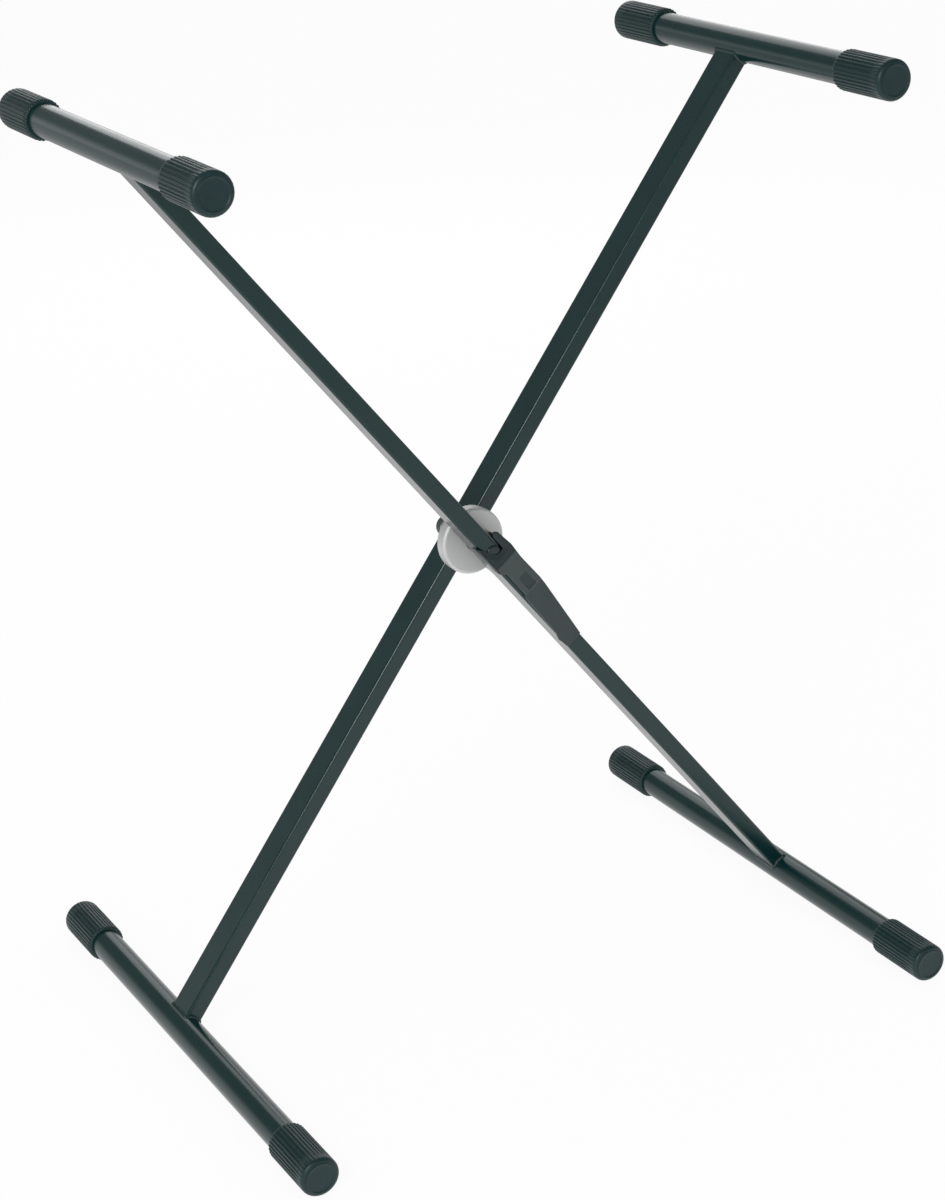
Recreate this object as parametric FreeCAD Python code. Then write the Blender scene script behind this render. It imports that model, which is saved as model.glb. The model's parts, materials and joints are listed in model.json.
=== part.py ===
"""Folding keyboard stand: two crossed leg frames on one pivot, held by a disc clamp.

Each leg frame is drawn flat, in its own leg frame: X runs down the leg from the pivot, Y runs
along the bars to the back, and Z stands square to the leg.  The frame is then turned about the
pivot to its standing angle.  Lengths are in millimetres, Z is up, and the origin lies on the
floor below the pivot.
"""

import FreeCAD, Part
import math
import os

from FreeCAD import Placement, Rotation, Vector

# Legs: rectangular steel tube, lengths from the pivot to the axis of each bar.
LEG_ANGLE = 52.4  # above the floor
ARM_UP = 496.0
ARM_DOWN = 504.0
LEG_DEPTH = 30.0  # along the bars
LEG_WIDTH = 16.0
LEG_WALL = 1.5
LEG_CORNER = 2.2
LEG_OFFSET = 23.0  # from the middle plane to each leg's centre

# Bars: round steel tube with a ribbed rubber cap on each end.
BAR_RADIUS = 14.0
BAR_WALL = 1.5
REST_LENGTH = 406.0  # over the caps
FOOT_LENGTH = 526.0
CAP_RADIUS = 17.5
CAP_LENGTH = 65.0
CAP_END_WALL = 4.0
CAP_ROUND = 4.3
CAP_RIBS = 33
RIB_HEIGHT = 0.9
RIB_SHARE = 0.56  # of the pitch, at the root
RIB_CREST_SHARE = 0.72  # of the root width
CAP_MOUTH_CHAMFER = (2.5, 3.5)  # in from the side, along the bar
CAP_DISH_RADIUS = 13.0
CAP_DISH_DEPTH = 0.8
WELD_RADIUS = 2.4

# Pivot: bolt, sleeves, washers and nut, all about the Y axis.
BOLT_RADIUS = 5.0
BOLT_HOLE_RADIUS = 5.1
BOLT_HEAD_RADIUS = 7.0
BOLT_HEAD_HEIGHT = 1.6
BOLT_HEAD_ROUND = 1.44
SLEEVE_RADIUS = 6.4
RUNNING_GAP = 0.05  # radial, where a pin turns in a hole
FACE_GAP = 0.1  # between flat faces that turn on each other
SIDE_GAP = 0.3  # between other faces of parts that move
SPACER_RADIUS = 7.8
WASHER_RADIUS = 11.0
WASHER_THICKNESS = 1.5
NUT_FLATS = 16.0
NUT_HEIGHT = 8.0
NUT_COVER_RADIUS = 11.2
NUT_COVER_TOP_RADIUS = 9.9
NUT_COVER_HEIGHT = 11.0
NUT_COVER_ROUND = 3.0

# Clamp disc: a pressed steel cup over a hub, both welded to the rear leg.
DISC_RADIUS = 30.4
DISC_DEPTH = 11.0  # from its front face to the rear leg
DISC_WALL = 2.5
DISC_ROUND = 3.0
HUB_RADIUS = 12.0

# Clamp lever on the front leg; outline points are (down the leg, square to the leg).
LEVER_PIN_X = 46.0
LEVER_PIN_RADIUS = 3.0
LEVER_FRONT_WALL = 4.0
LEVER_REAR_WALL = 3.0
LEVER_WEB = 2.5
LEVER_WEB_START = 4.0
LEVER_REAR_START = 14.0
LEVER_WEB_END = 88.0
LEVER_WEB_LAP = 1.0  # of the web into the front wall
LEVER_REAR_UNDERSIDE = -5.0
LEVER_REAR_TAPER_START = 62.0
LEVER_REAR_TIP = 8.4
LEVER_TOP = [(-17.0, 11.6), (-13.6, 14.8), (5.4, 16.6), (24.6, 13.7), (51.7, 14.7), (126.8, 7.2)]
LEVER_UNDERSIDE = [(127.0, -9.6), (119.5, -11.0), (106.0, -8.2), (60.0, -5.0), (22.4, -5.4)]
LEVER_JAW = [(22.4, -6.6), (18.0, -9.6), (-15.5, -9.6), (-15.5, -8.8), (-10.0, -5.2), (-2.0, -2.8)]
LEVER_THROAT = [(3.2, 1.0), (2.6, 8.6)]  # the notch between jaw and finger
LEVER_FINGER_ROOT = (-13.0, 8.6)
LEVER_BLOCK_START = 13.0  # the raised block on the front wall
LEVER_BLOCK_END = 52.5
LEVER_HEAD_STEP = 0.6
LEVER_HANDLE_STEP = 0.5
LEVER_END_THICKNESS = 2.0
JAW_FLANGE_START = -15.5  # the flange that the jaw folds under the leg
JAW_FLANGE_END = 18.0
JAW_FLANGE_THICKNESS = 1.2
JAW_FLANGE_DEPTH = 7.0  # past the leg's face
LEVER_PAST_END = 2.0  # how far the handle's taper runs past its end
LEVER_HEAD_RELIEF = 12.0  # the back of the head is cut away up to here, over the bolt head
POCKET_SIZE = (17.5, 9.6)
POCKET_CENTRE = (43.4, 5.4)
POCKET_DEPTH = 1.2
PIN_COVER = 0.6  # plastic left between the pocket and the pin
CAM_RADIUS = 15.6
CAM_DROP = 0.35  # how much lower the cam is once the lever is pulled
CAM_BACK_X = 57.4
CAM_BACK_HALF_WIDTH = 4.0
CAM_SPREAD = 26.0  # half of the cam face's angle
CAM_STEPS = 6
CAM_SCREW_RADIUS = 1.5
CAM_SCREW_HEAD_RADIUS = 2.6
CAM_SCREW_HEAD_HEIGHT = 1.2
CAM_SCREW_LENGTH = 7.0
CAM_SCREW_PLACES = [(40.5, 2.2), (52.6, 0.0)]

# Lever spring, standing inside the front leg.
SPRING_X = 18.0
SPRING_RADIUS = 3.4
SPRING_WIRE = 0.9
SPRING_HOLE_RADIUS = 4.2
SPRING_TOP = 11.3

FAR = 200.0  # past everything near the pivot

PIVOT_HEIGHT = CAP_RADIUS + ARM_DOWN * math.sin(math.radians(LEG_ANGLE))
FRONT_LEG_FACE = -LEG_OFFSET - LEG_DEPTH / 2
FRONT_LEG_BACK = -LEG_OFFSET + LEG_DEPTH / 2
REAR_LEG_FACE = LEG_OFFSET - LEG_DEPTH / 2
REAR_LEG_BACK = LEG_OFFSET + LEG_DEPTH / 2
DISC_FRONT = REAR_LEG_FACE - DISC_DEPTH
LEVER_BACK_OF_FRONT_WALL = FRONT_LEG_FACE - SIDE_GAP
LEVER_FACE = LEVER_BACK_OF_FRONT_WALL - LEVER_FRONT_WALL
LEVER_REAR_FACE = FRONT_LEG_BACK + 2 * SIDE_GAP
LEVER_REAR_BACK = LEVER_REAR_FACE + LEVER_REAR_WALL
CAM_BACK = REAR_LEG_FACE - 2 * SIDE_GAP

FRONT_PLACE = Placement(Vector(0, 0, PIVOT_HEIGHT), Rotation(Vector(0, 1, 0), LEG_ANGLE))
REAR_PLACE = Placement(Vector(0, 0, PIVOT_HEIGHT), Rotation(Vector(0, 1, 0), 180 - LEG_ANGLE))
ALONG_Y = Vector(0, 1, 0)


def rod(radius, start, end, x=0.0, z=0.0):
    """A round bar along Y from start to end."""
    return Part.makeCylinder(radius, end - start, Vector(x, start, z), ALONG_Y)


def ring(outer, inner, start, end, x=0.0, z=0.0):
    """A round tube along Y from start to end."""
    return rod(outer, start, end, x, z).cut(rod(inner, start, end, x, z))


def block(x0, x1, y0, y1, z0, z1):
    """A box between two corners."""
    return Part.makeBox(x1 - x0, y1 - y0, z1 - z0, Vector(x0, y0, z0))


def plate(outline, start, end):
    """A flat outline of (x, z) points, made solid along Y from start to end."""
    points = [Vector(x, start, z) for x, z in outline]
    face = Part.Face(Part.makePolygon(points + points[:1]))
    return face.extrude(Vector(0, end - start, 0))


def turned(profile):
    """A solid of revolution about Y from (radius, y) points and arcs."""
    return Part.Face(Part.Wire(profile)).revolve(Vector(0, 0, 0), ALONG_Y, 360)


def line(a, b):
    """An edge between two (radius, y) points."""
    return Part.LineSegment(Vector(a[0], a[1], 0), Vector(b[0], b[1], 0)).toShape()


def corner_arc(a, b, centre, radius):
    """A round edge from a to b about centre, all (radius, y) points."""
    middle = Vector((a[0] + b[0]) / 2 - centre[0], (a[1] + b[1]) / 2 - centre[1], 0).normalize() * radius
    through = Vector(centre[0], centre[1], 0) + middle
    return Part.Arc(Vector(a[0], a[1], 0), through, Vector(b[0], b[1], 0)).toShape()


def rounded_box_along_x(x0, x1, y, depth, width, corner):
    """A bar along X with rounded long edges, centred on y."""
    solid = block(x0, x1, y - depth / 2, y + depth / 2, -width / 2, width / 2)
    long_edges = [e for e in solid.Edges if abs(e.Vertexes[0].X - e.Vertexes[-1].X) > 1.0]
    return solid.makeFillet(corner, long_edges)


def leg_tube(y):
    """One leg: a rectangular tube whose ends are cut round to fit the bars."""
    outer = rounded_box_along_x(-ARM_UP, ARM_DOWN, y, LEG_DEPTH, LEG_WIDTH, LEG_CORNER)
    inner = rounded_box_along_x(
        -ARM_UP, ARM_DOWN, y, LEG_DEPTH - 2 * LEG_WALL, LEG_WIDTH - 2 * LEG_WALL, LEG_CORNER - LEG_WALL
    )
    tube = outer.cut(inner)
    for x in (-ARM_UP, ARM_DOWN):
        tube = tube.cut(rod(BAR_RADIUS, y - LEG_DEPTH, y + LEG_DEPTH, x))
    return tube


def bar(x, length):
    """A round tube across the end of a leg; its caps close its ends."""
    half = length / 2 - CAP_END_WALL
    return ring(BAR_RADIUS, BAR_RADIUS - BAR_WALL, -half, half, x)


def ribbed_prism(length):
    """A round bar along Y whose side has the caps' ribs."""
    low = CAP_RADIUS - RIB_HEIGHT
    pitch = 2 * math.pi / CAP_RIBS
    points = []
    for rib in range(CAP_RIBS):
        middle = rib * pitch
        foot = pitch * RIB_SHARE / 2
        crest = foot * RIB_CREST_SHARE
        for radius, angle in ((low, -foot), (CAP_RADIUS, -crest), (CAP_RADIUS, crest), (low, foot)):
            points.append((radius * math.cos(middle + angle), radius * math.sin(middle + angle)))
    return plate(points, 0, length)


def cap():
    """A ribbed rubber cap: its mouth is at Y 0 and its closed end at Y CAP_LENGTH."""
    end = CAP_LENGTH
    rim = CAP_RADIUS - CAP_ROUND
    bore_end = end - CAP_END_WALL
    chamfer_in, chamfer_along = CAP_MOUTH_CHAMFER
    outer = [
        (BAR_RADIUS, 0),
        (CAP_RADIUS - chamfer_in, 0),
        (CAP_RADIUS, chamfer_along),
        (CAP_RADIUS, end - CAP_ROUND),
    ]
    profile = [line(a, b) for a, b in zip(outer, outer[1:])]
    profile.append(corner_arc(outer[-1], (rim, end), (rim, end - CAP_ROUND), CAP_ROUND))
    inner = [
        (rim, end),
        (CAP_DISH_RADIUS, end),
        (CAP_DISH_RADIUS, end - CAP_DISH_DEPTH),
        (0, end - CAP_DISH_DEPTH),
        (0, bore_end),
        (BAR_RADIUS, bore_end),
        (BAR_RADIUS, 0),
    ]
    profile += [line(a, b) for a, b in zip(inner, inner[1:]) if a != b]
    return turned(profile).common(ribbed_prism(CAP_LENGTH))


def caps_on_bar(x, length, shape):
    """The near and the far cap of one bar."""
    far = shape.copy()
    far.translate(Vector(x, length / 2 - CAP_LENGTH, 0))
    near = shape.copy()
    near.rotate(Vector(0, 0, 0), Vector(0, 0, 1), 180)
    near.translate(Vector(x, CAP_LENGTH - length / 2, 0))
    return {"near": near, "far": far}


def weld(x, side, y):
    """The bead round one leg end; side is 1 where the leg runs towards +X from the bar."""
    reach = math.sqrt(BAR_RADIUS**2 - (LEG_WIDTH / 2) ** 2)
    beads = []
    for z in (-LEG_WIDTH / 2, LEG_WIDTH / 2):
        beads.append(rod(WELD_RADIUS, y - LEG_DEPTH / 2, y + LEG_DEPTH / 2, x + side * reach, z))
    for face in (y - LEG_DEPTH / 2, y + LEG_DEPTH / 2):
        ring_bead = Part.makeTorus(BAR_RADIUS, WELD_RADIUS, Vector(x, face, 0), ALONG_Y)
        half_width = (BAR_RADIUS + WELD_RADIUS) * LEG_WIDTH / 2 / BAR_RADIUS
        keep = block(
            min(x, x + side * 2 * BAR_RADIUS),
            max(x, x + side * 2 * BAR_RADIUS),
            face - WELD_RADIUS,
            face + WELD_RADIUS,
            -half_width,
            half_width,
        )
        beads.append(ring_bead.common(keep))
    bead = beads[0].multiFuse(beads[1:])
    solid_leg = rounded_box_along_x(-ARM_UP, ARM_DOWN, y, LEG_DEPTH, LEG_WIDTH, LEG_CORNER)
    return bead.cut(solid_leg).cut(rod(BAR_RADIUS, y - 2 * LEG_DEPTH, y + 2 * LEG_DEPTH, x))


def leg_frame(name, y, cap_shape):
    """A leg with its two bars, four caps and two welds, in the leg's own frame."""
    pieces = {
        f"{name}_leg_tube": leg_tube(y),
        f"{name}_rest_bar": bar(-ARM_UP, REST_LENGTH),
        f"{name}_foot_bar": bar(ARM_DOWN, FOOT_LENGTH),
        f"{name}_rest_weld": weld(-ARM_UP, 1, y),
        f"{name}_foot_weld": weld(ARM_DOWN, -1, y),
    }
    for use, x, length in (("rest", -ARM_UP, REST_LENGTH), ("foot", ARM_DOWN, FOOT_LENGTH)):
        for end, shape in caps_on_bar(x, length, cap_shape).items():
            pieces[f"{name}_{use}_cap_{end}"] = shape
    return pieces


def pivot_bolt():
    """A bolt with a low domed head against the front leg."""
    head = rod(BOLT_HEAD_RADIUS, FRONT_LEG_FACE - BOLT_HEAD_HEIGHT, FRONT_LEG_FACE)
    rim = [e for e in head.Edges if abs(e.CenterOfMass.y - (FRONT_LEG_FACE - BOLT_HEAD_HEIGHT)) < 0.01]
    head = head.makeFillet(BOLT_HEAD_ROUND, rim)
    nut_end = REAR_LEG_BACK + FACE_GAP + WASHER_THICKNESS + NUT_HEIGHT
    return head.fuse(rod(BOLT_RADIUS, FRONT_LEG_FACE, nut_end))


def lock_nut():
    """The hexagon nut behind the rear leg."""
    start = REAR_LEG_BACK + FACE_GAP + WASHER_THICKNESS
    corner = NUT_FLATS / math.sqrt(3)
    angles = [math.radians(60 * k) for k in range(6)]
    hexagon = [(corner * math.cos(angle), corner * math.sin(angle)) for angle in angles]
    return plate(hexagon, start, start + NUT_HEIGHT).cut(rod(BOLT_RADIUS, start, start + NUT_HEIGHT))


def nut_cover():
    """A tapered plastic cover pushed over the nut."""
    start = REAR_LEG_BACK + FACE_GAP + WASHER_THICKNESS
    end = start + NUT_COVER_HEIGHT
    inside = NUT_FLATS / math.sqrt(3)
    rim = NUT_COVER_TOP_RADIUS - NUT_COVER_ROUND
    turn = end - NUT_COVER_ROUND
    profile = [
        line((inside, start), (NUT_COVER_RADIUS, start)),
        line((NUT_COVER_RADIUS, start), (NUT_COVER_TOP_RADIUS, turn)),
        corner_arc((NUT_COVER_TOP_RADIUS, turn), (rim, end), (rim, turn), NUT_COVER_ROUND),
        line((rim, end), (0, end)),
        line((0, end), (0, start + NUT_HEIGHT)),
        line((0, start + NUT_HEIGHT), (inside, start + NUT_HEIGHT)),
        line((inside, start + NUT_HEIGHT), (inside, start)),
    ]
    return turned(profile)


def clamp_disc():
    """The pressed steel cup whose rim the lever's cam grips; it opens towards the rear leg."""
    bore = BOLT_HOLE_RADIUS + SIDE_GAP
    inner_radius = DISC_RADIUS - DISC_WALL
    floor = DISC_FRONT + DISC_WALL
    inner_round = DISC_ROUND - DISC_WALL
    front_turn = (DISC_RADIUS - DISC_ROUND, DISC_FRONT + DISC_ROUND)
    profile = [
        line((bore, DISC_FRONT), (front_turn[0], DISC_FRONT)),
        corner_arc((front_turn[0], DISC_FRONT), (DISC_RADIUS, front_turn[1]), front_turn, DISC_ROUND),
        line((DISC_RADIUS, front_turn[1]), (DISC_RADIUS, REAR_LEG_FACE)),
        line((DISC_RADIUS, REAR_LEG_FACE), (inner_radius, REAR_LEG_FACE)),
        line((inner_radius, REAR_LEG_FACE), (inner_radius, front_turn[1])),
        corner_arc((inner_radius, front_turn[1]), (front_turn[0], floor), front_turn, inner_round),
        line((front_turn[0], floor), (bore, floor)),
        line((bore, floor), (bore, DISC_FRONT)),
    ]
    return turned(profile)


def lever_front_wall():
    """The wall of the lever that shows: finger, jaw, raised block and tapered handle."""
    back = LEVER_BACK_OF_FRONT_WALL
    outline = LEVER_TOP + LEVER_UNDERSIDE + LEVER_JAW + LEVER_THROAT + [LEVER_FINGER_ROOT]
    wall = plate(outline, LEVER_FACE, back)
    head_step = LEVER_FACE + LEVER_HEAD_STEP
    wall = wall.cut(block(-FAR, LEVER_BLOCK_START, LEVER_FACE, head_step, -FAR, FAR))
    handle_end = LEVER_TOP[-1][0] + LEVER_PAST_END
    handle_cut = [
        Vector(LEVER_BLOCK_END, LEVER_FACE - LEVER_HANDLE_STEP, -FAR),
        Vector(handle_end, LEVER_FACE - LEVER_HANDLE_STEP, -FAR),
        Vector(handle_end, back - LEVER_END_THICKNESS, -FAR),
        Vector(LEVER_BLOCK_END, LEVER_FACE + LEVER_HANDLE_STEP, -FAR),
    ]
    wedge = Part.Face(Part.makePolygon(handle_cut + handle_cut[:1])).extrude(Vector(0, 0, 2 * FAR))
    wall = wall.cut(wedge)
    relief_face = FRONT_LEG_FACE - BOLT_HEAD_HEIGHT - SIDE_GAP
    return wall.cut(block(-FAR, LEVER_HEAD_RELIEF, relief_face, back, -FAR, FAR))


def jaw_flange():
    """The flange under the leg that the lever's jaw ends in."""
    z0 = LEVER_JAW[2][1]
    face = LEVER_FACE + LEVER_HEAD_STEP
    end = FRONT_LEG_FACE + JAW_FLANGE_DEPTH
    return block(JAW_FLANGE_START, JAW_FLANGE_END, face, end, z0, z0 + JAW_FLANGE_THICKNESS)


def lever_strip(x0, x1, thickness):
    """The upper and lower (x, z) edges of a strip that follows the lever's top edge."""
    inside = [(x, z) for x, z in LEVER_TOP if x0 < x < x1]
    ends = []
    for x in (x0, x1):
        for (xa, za), (xb, zb) in zip(LEVER_TOP, LEVER_TOP[1:]):
            if xa <= x <= xb:
                ends.append((x, za + (zb - za) * (x - xa) / (xb - xa)))
    top = [ends[0]] + inside + [ends[1]]
    return top, [(x, z - thickness) for x, z in reversed(top)]


def clamp_lever():
    """The moulded lever: a channel over the front leg, on a pin through the leg."""
    top, under = lever_strip(LEVER_WEB_START, LEVER_WEB_END, LEVER_WEB)
    web = plate(top + under, LEVER_BACK_OF_FRONT_WALL - LEVER_WEB_LAP, LEVER_REAR_BACK)
    rear_top = lever_strip(LEVER_REAR_START, LEVER_WEB_END, LEVER_WEB)[0]
    rear_under = [
        (LEVER_WEB_END, LEVER_REAR_TIP),
        (LEVER_REAR_TAPER_START, LEVER_REAR_UNDERSIDE),
        (LEVER_REAR_START, LEVER_REAR_UNDERSIDE),
    ]
    rear = plate(rear_top + rear_under, LEVER_REAR_FACE, LEVER_REAR_BACK)
    lever = lever_front_wall().multiFuse([web, rear, jaw_flange()]).removeSplitter()
    pin_hole = LEVER_PIN_RADIUS + RUNNING_GAP
    lever = lever.cut(rod(pin_hole, lever_pin_start() - FACE_GAP, LEVER_REAR_BACK, LEVER_PIN_X))
    px, pz = POCKET_CENTRE
    sx, sz = POCKET_SIZE
    pocket = block(
        px - sx / 2, px + sx / 2, LEVER_FACE, LEVER_FACE + POCKET_DEPTH, pz - sz / 2, pz + sz / 2
    )
    lever = lever.cut(pocket)
    head_end = LEVER_REAR_FACE + CAM_SCREW_HEAD_HEIGHT
    for x, z in CAM_SCREW_PLACES:
        lever = lever.cut(rod(CAM_SCREW_RADIUS, LEVER_REAR_FACE, LEVER_REAR_BACK, x, z))
        lever = lever.cut(rod(CAM_SCREW_HEAD_RADIUS, LEVER_REAR_FACE, head_end, x, z))
    return lever


def lever_pin_start():
    """The Y of the lever pin's front end, inside the lever's front wall."""
    return LEVER_FACE + POCKET_DEPTH + PIN_COVER


def lever_pin():
    """The pin through the front leg that the lever turns on."""
    return rod(LEVER_PIN_RADIUS, lever_pin_start(), CAM_BACK, LEVER_PIN_X)


def clamp_cam():
    """The steel cam screwed to the lever's rear wall; its face bears on the disc's rim."""
    points = []
    for k in range(CAM_STEPS + 1):
        share = 2 * k / CAM_STEPS - 1
        angle = math.radians(180 + share * CAM_SPREAD)
        radius = CAM_RADIUS - SIDE_GAP + share * CAM_DROP
        x = LEVER_PIN_X + radius * math.cos(angle)
        points.append(Vector(x, LEVER_REAR_BACK, radius * math.sin(angle)))
    curve = Part.BSplineCurve()
    curve.interpolate(points)
    lower = Vector(CAM_BACK_X, LEVER_REAR_BACK, -CAM_BACK_HALF_WIDTH)
    upper = Vector(CAM_BACK_X, LEVER_REAR_BACK, CAM_BACK_HALF_WIDTH)
    corners = [points[-1], lower, upper, points[0]]
    edges = [curve.toShape()] + [Part.LineSegment(a, b).toShape() for a, b in zip(corners, corners[1:])]
    cam = Part.Face(Part.Wire(edges)).extrude(Vector(0, CAM_BACK - LEVER_REAR_BACK, 0))
    cam = cam.cut(rod(LEVER_PIN_RADIUS + RUNNING_GAP, LEVER_REAR_BACK, CAM_BACK, LEVER_PIN_X))
    screw_end = LEVER_REAR_FACE + CAM_SCREW_LENGTH
    for x, z in CAM_SCREW_PLACES:
        cam = cam.cut(rod(CAM_SCREW_RADIUS, LEVER_REAR_BACK, screw_end, x, z))
    return cam


def cam_screws():
    """The screws that hold the cam to the lever, heads sunk in the rear wall."""
    head_end = LEVER_REAR_FACE + CAM_SCREW_HEAD_HEIGHT
    shank_end = LEVER_REAR_FACE + CAM_SCREW_LENGTH
    screws = []
    for x, z in CAM_SCREW_PLACES:
        head = rod(CAM_SCREW_HEAD_RADIUS, LEVER_REAR_FACE, head_end, x, z)
        screws.append(head.fuse(rod(CAM_SCREW_RADIUS, LEVER_REAR_FACE, shank_end, x, z)))
    return Part.makeCompound(screws)


def lever_spring():
    """The return spring as a plain sleeve, standing on the leg's inner wall under the lever."""
    foot = -LEG_WIDTH / 2 + LEG_WALL
    base = Vector(SPRING_X, -LEG_OFFSET, foot)
    height = SPRING_TOP - foot
    outer = Part.makeCylinder(SPRING_RADIUS, height, base)
    return outer.cut(Part.makeCylinder(SPRING_RADIUS - SPRING_WIRE, height, base))


def front_frame(cap_shape):
    """The front leg frame with the pivot's fixed parts and the lever's pin and spring."""
    pieces = leg_frame("front", -LEG_OFFSET, cap_shape)
    spring_hole = Part.makeCylinder(SPRING_HOLE_RADIUS, LEG_WIDTH, Vector(SPRING_X, -LEG_OFFSET, 0))
    pieces["front_leg_tube"] = (
        pieces["front_leg_tube"]
        .cut(rod(BOLT_HOLE_RADIUS, FRONT_LEG_FACE, FRONT_LEG_BACK))
        .cut(rod(LEVER_PIN_RADIUS, FRONT_LEG_FACE, FRONT_LEG_BACK, LEVER_PIN_X))
        .cut(spring_hole)
    )
    washer_start = REAR_LEG_BACK + FACE_GAP
    pieces["crush_sleeve"] = ring(
        SLEEVE_RADIUS, BOLT_HOLE_RADIUS, FRONT_LEG_FACE + LEG_WALL, FRONT_LEG_BACK - LEG_WALL
    )
    pieces["pivot_bolt"] = pivot_bolt()
    pieces["pivot_spacer"] = ring(SPACER_RADIUS, BOLT_HOLE_RADIUS, FRONT_LEG_BACK, DISC_FRONT - FACE_GAP)
    washer_end = washer_start + WASHER_THICKNESS
    pieces["rear_washer"] = ring(WASHER_RADIUS, BOLT_HOLE_RADIUS, washer_start, washer_end)
    pieces["lock_nut"] = lock_nut()
    pieces["nut_cover"] = nut_cover()
    pieces["lever_pin"] = lever_pin()
    pieces["lever_spring"] = lever_spring()
    return pieces


def rear_frame(cap_shape):
    """The rear leg frame with its bearing sleeve, hub and clamp disc."""
    pieces = leg_frame("rear", LEG_OFFSET, cap_shape)
    pieces["rear_leg_tube"] = pieces["rear_leg_tube"].cut(rod(SLEEVE_RADIUS, REAR_LEG_FACE, REAR_LEG_BACK))
    pieces["pivot_bearing"] = ring(SLEEVE_RADIUS, BOLT_RADIUS + RUNNING_GAP, REAR_LEG_FACE, REAR_LEG_BACK)
    hub_start = DISC_FRONT + DISC_WALL
    pieces["disc_hub"] = ring(HUB_RADIUS, BOLT_HOLE_RADIUS + SIDE_GAP, hub_start, REAR_LEG_FACE)
    pieces["clamp_disc"] = clamp_disc()
    return pieces


def lever_assembly():
    """The lever with its cam and screws."""
    return {"clamp_lever": clamp_lever(), "clamp_cam": clamp_cam(), "cam_screws": cam_screws()}


def write(pieces, place):
    """Turn each piece to where it stands and write it to its file."""
    for name, shape in pieces.items():
        placed = shape.copy()
        placed.Placement = place.multiply(placed.Placement)
        solids = placed.Solids
        result = solids[0] if len(solids) == 1 else Part.makeCompound(solids)
        print(f"{name}: {len(solids)} solid(s), {result.Volume / 1000:.2f} cm3, valid {result.isValid()}")
        result.exportStep(os.path.join("parts", f"{name}.step"))


os.makedirs("parts", exist_ok=True)
CAP_SHAPE = cap()
write(front_frame(CAP_SHAPE), FRONT_PLACE)
write(rear_frame(CAP_SHAPE), REAR_PLACE)
write(lever_assembly(), FRONT_PLACE)
print(f"pivot height {PIVOT_HEIGHT:.2f} mm")
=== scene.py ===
"""Looks of a folding keyboard stand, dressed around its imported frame.

The frame holds the stand's real sizes and places.  This script gives every piece its finish,
builds the pieces whose form is finer than the frame's solids, and sets up the studio and camera.
Lengths in the sub-assembly classes are in millimetres, and MM turns them into metres.
"""

import json
import logging
import math
from dataclasses import dataclass
from enum import Enum
from typing import Any, Sequence

import bmesh
import bpy
import numpy as np
from mathutils import Matrix, Vector
from mathutils.geometry import delaunay_2d_cdt

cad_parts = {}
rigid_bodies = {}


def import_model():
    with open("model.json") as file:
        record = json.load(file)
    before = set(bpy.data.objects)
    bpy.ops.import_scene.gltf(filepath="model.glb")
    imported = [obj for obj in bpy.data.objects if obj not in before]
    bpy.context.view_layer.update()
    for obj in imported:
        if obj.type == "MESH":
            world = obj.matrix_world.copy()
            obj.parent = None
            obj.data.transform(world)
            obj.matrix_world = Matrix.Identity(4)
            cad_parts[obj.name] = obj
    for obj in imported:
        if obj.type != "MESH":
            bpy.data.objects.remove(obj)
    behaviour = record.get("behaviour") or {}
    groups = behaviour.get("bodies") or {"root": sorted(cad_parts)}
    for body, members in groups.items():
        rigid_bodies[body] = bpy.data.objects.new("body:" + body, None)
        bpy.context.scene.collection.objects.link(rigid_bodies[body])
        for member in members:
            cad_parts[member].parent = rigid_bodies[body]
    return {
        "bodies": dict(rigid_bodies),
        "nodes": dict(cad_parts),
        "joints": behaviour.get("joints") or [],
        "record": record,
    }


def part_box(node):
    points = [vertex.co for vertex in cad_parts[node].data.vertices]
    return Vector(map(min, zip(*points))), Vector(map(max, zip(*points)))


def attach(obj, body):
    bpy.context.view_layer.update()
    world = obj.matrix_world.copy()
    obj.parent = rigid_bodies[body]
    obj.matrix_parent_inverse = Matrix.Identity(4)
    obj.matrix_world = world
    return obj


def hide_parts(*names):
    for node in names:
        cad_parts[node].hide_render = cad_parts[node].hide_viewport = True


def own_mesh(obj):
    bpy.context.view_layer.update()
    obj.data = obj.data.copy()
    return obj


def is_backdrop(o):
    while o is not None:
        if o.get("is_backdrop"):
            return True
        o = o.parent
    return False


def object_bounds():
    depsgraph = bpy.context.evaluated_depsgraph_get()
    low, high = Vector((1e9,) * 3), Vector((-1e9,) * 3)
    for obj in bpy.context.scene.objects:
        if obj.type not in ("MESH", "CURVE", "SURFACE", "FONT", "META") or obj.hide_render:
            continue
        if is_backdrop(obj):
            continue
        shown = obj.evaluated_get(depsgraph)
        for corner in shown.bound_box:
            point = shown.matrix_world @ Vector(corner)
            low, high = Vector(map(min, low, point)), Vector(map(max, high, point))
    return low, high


LOG = logging.getLogger("keyboard_stand")
MM = 0.001
PAINTED_LIGHT = "tone"  # the mesh attribute that carries painted light and shade on moulded plastic
Colour = tuple[float, float, float]
Point = tuple[float, float]


class Leg(Enum):
    """The two leg frames, by the name that starts their nodes."""

    FRONT = "front"
    REAR = "rear"


class Use(Enum):
    """What a bar is for."""

    REST = "rest"
    FOOT = "foot"


class End(Enum):
    """Which end of a bar, and the sign of Y there."""

    NEAR = -1
    FAR = 1


# ---------------------------------------------------------------- node trees


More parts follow.
